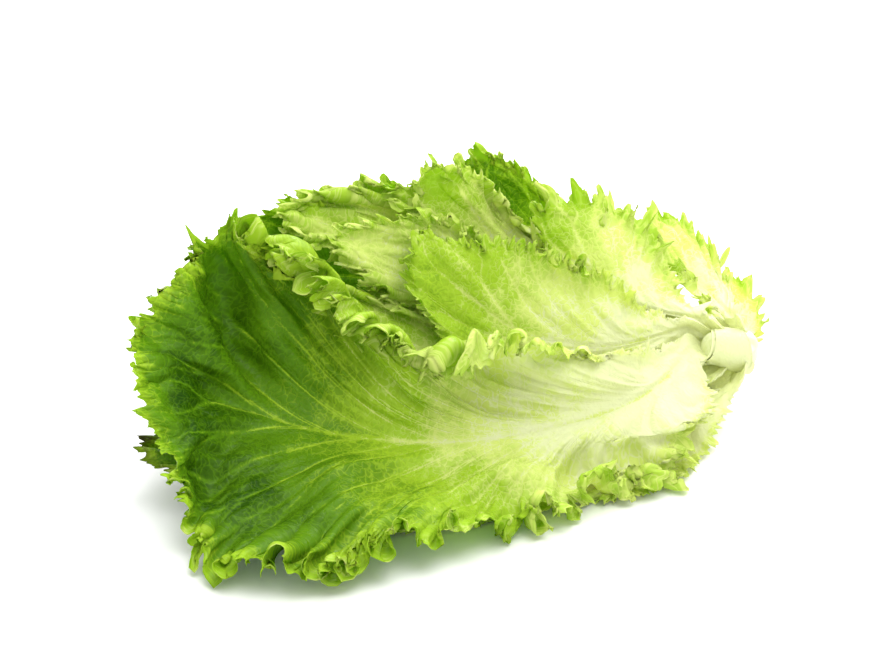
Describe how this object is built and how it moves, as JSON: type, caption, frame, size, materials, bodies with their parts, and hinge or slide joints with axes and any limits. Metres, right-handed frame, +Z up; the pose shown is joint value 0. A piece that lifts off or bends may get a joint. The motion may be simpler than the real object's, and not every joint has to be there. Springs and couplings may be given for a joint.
{
  "type": "head of lettuce",
  "caption": "Head of loose-leaf lettuce lying on its side, with curled, frilled leaves nested on a short cut stem.",
  "frame": {"origin": "middle of the underside of the head's box, on the surface that it lies on", "axes": "+X along the head towards the cut end of the stem, +Z up, leaf tips towards -X, open side of the leaves towards -Y"},
  "size_m": [0.3, 0.178, 0.11],
  "materials": {
    "front_leaf": "waxy leaf, dark green at the tip, pale rib, wet gloss",
    "middle_leaf": "waxy leaf, smooth yellow-green blade with fine veins",
    "inner_leaf": "waxy leaf, pale yellow-green heart leaf",
    "tucked_leaf": "waxy leaf, glossy pale green",
    "pale_leaf": "waxy leaf, pale yellow-green with a white rib",
    "crest_leaf": "waxy leaf, bright yellow-green and ruffled",
    "upper_leaf": "waxy leaf, mid green with a pale net of veins",
    "back_crest_leaf": "waxy leaf, dark green with a grey-green blade",
    "shoulder_leaf": "waxy leaf, very pale green",
    "stem_end_leaf": "waxy leaf, very pale green",
    "back_leaf": "waxy leaf, mid green outer leaf",
    "back_floor_leaf": "waxy leaf, mid green outer leaf",
    "worn_leaf": "waxy leaf, dark green with browned edges",
    "floor_leaf": "waxy leaf, yellow-green outer leaf",
    "stem": "moist pale stem with a cut end"
  },
  "bodies": {
    "root": {"front_leaf": "front_leaf", "middle_leaf": "middle_leaf", "inner_leaf": "inner_leaf", "tucked_leaf": "tucked_leaf", "pale_leaf": "pale_leaf", "crest_leaf": "crest_leaf", "upper_leaf": "upper_leaf", "back_crest_leaf": "back_crest_leaf", "shoulder_leaf": "shoulder_leaf", "stem_end_leaf": "stem_end_leaf", "back_leaf": "back_leaf", "back_floor_leaf": "back_floor_leaf", "worn_leaf": "worn_leaf", "floor_leaf": "floor_leaf", "stem": "stem"}
  },
  "joints": []
}
